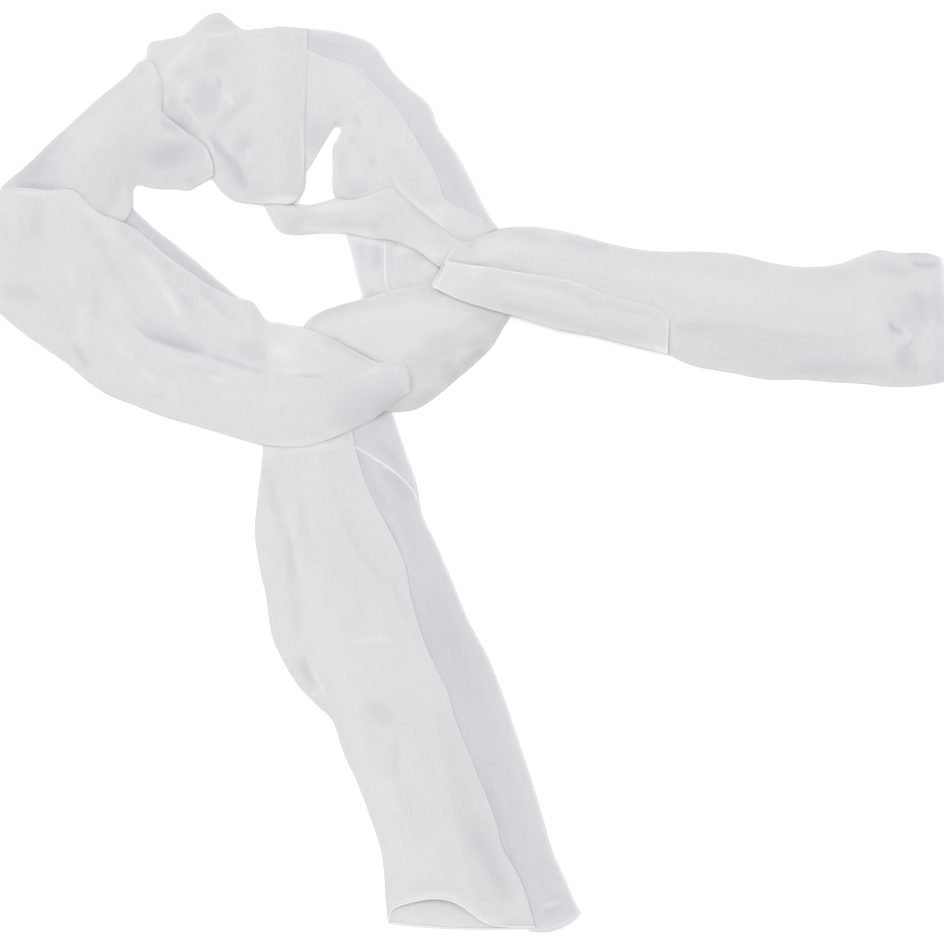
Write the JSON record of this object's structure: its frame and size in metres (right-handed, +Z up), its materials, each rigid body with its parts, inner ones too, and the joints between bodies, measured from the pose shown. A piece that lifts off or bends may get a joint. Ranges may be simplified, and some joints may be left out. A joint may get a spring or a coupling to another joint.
{
  "type": "chiffon scarf",
  "caption": "Long rectangular sheer scarf with rolled hems, laid flat in a loose neck loop with a half knot and two free tails.",
  "frame": {"origin": "on the table, under the middle of the box round the whole scarf, within 1 mm", "axes": "+Z up from the table that the scarf lies on, +X along the tail that lies sideways, +Y from the hanging tail's end up to the neck loop"},
  "size_m": [0.6979, 0.6612, 0.0205],
  "materials": {
    "folded_chiffon": "white polyester chiffon in several layers, soft and matt with a faint sheen",
    "single_chiffon": "one layer of white chiffon, sheer, slightly cooler and darker than the folded cloth"
  },
  "bodies": {
    "root": {"edge_strip": "single_chiffon", "loop_edge": "single_chiffon", "neck_strip": "single_chiffon", "loop_right": "folded_chiffon", "inner_strip": "folded_chiffon", "bend_top": "folded_chiffon", "bend_left": "folded_chiffon", "tail_panel": "single_chiffon", "tail_lower": "folded_chiffon", "knot_wrap": "folded_chiffon", "tail_right": "folded_chiffon", "tail_flap": "single_chiffon", "strand_left": "folded_chiffon"}
  },
  "joints": []
}
